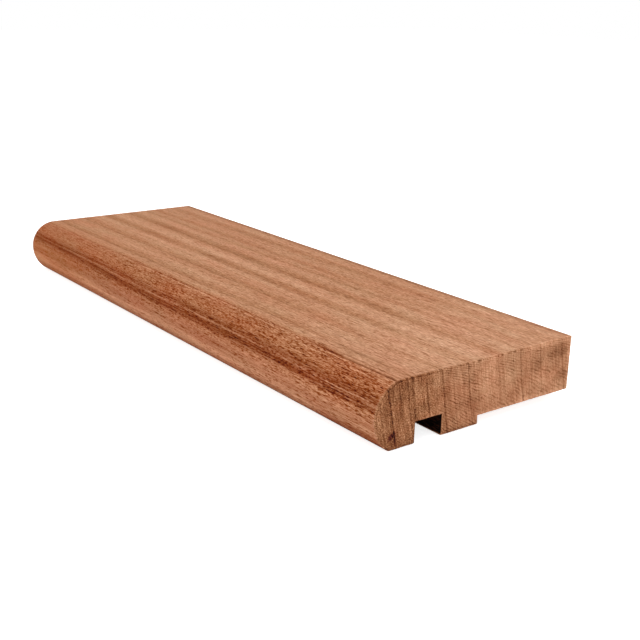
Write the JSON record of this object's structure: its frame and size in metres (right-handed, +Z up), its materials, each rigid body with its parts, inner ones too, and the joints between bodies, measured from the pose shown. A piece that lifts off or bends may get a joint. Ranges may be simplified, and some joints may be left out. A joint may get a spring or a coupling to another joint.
{
  "type": "landing nosing",
  "caption": "Solid hardwood landing nosing: rounded front edge, square back, underside grooved for a riser and rebated to sit on the landing floor.",
  "frame": {"origin": "middle of the length and width, on the underside plane that the lip and the land share", "axes": "+X along the length, +Y from the rounded nose to the square back edge, +Z up to the tread face"},
  "size_m": [0.288, 0.097, 0.025],
  "materials": {
    "hardwood": "planed and sanded, unfinished, red-brown ribbon-striped hardwood with open pores"
  },
  "bodies": {
    "root": {"landing_nosing": "hardwood"}
  },
  "joints": []
}
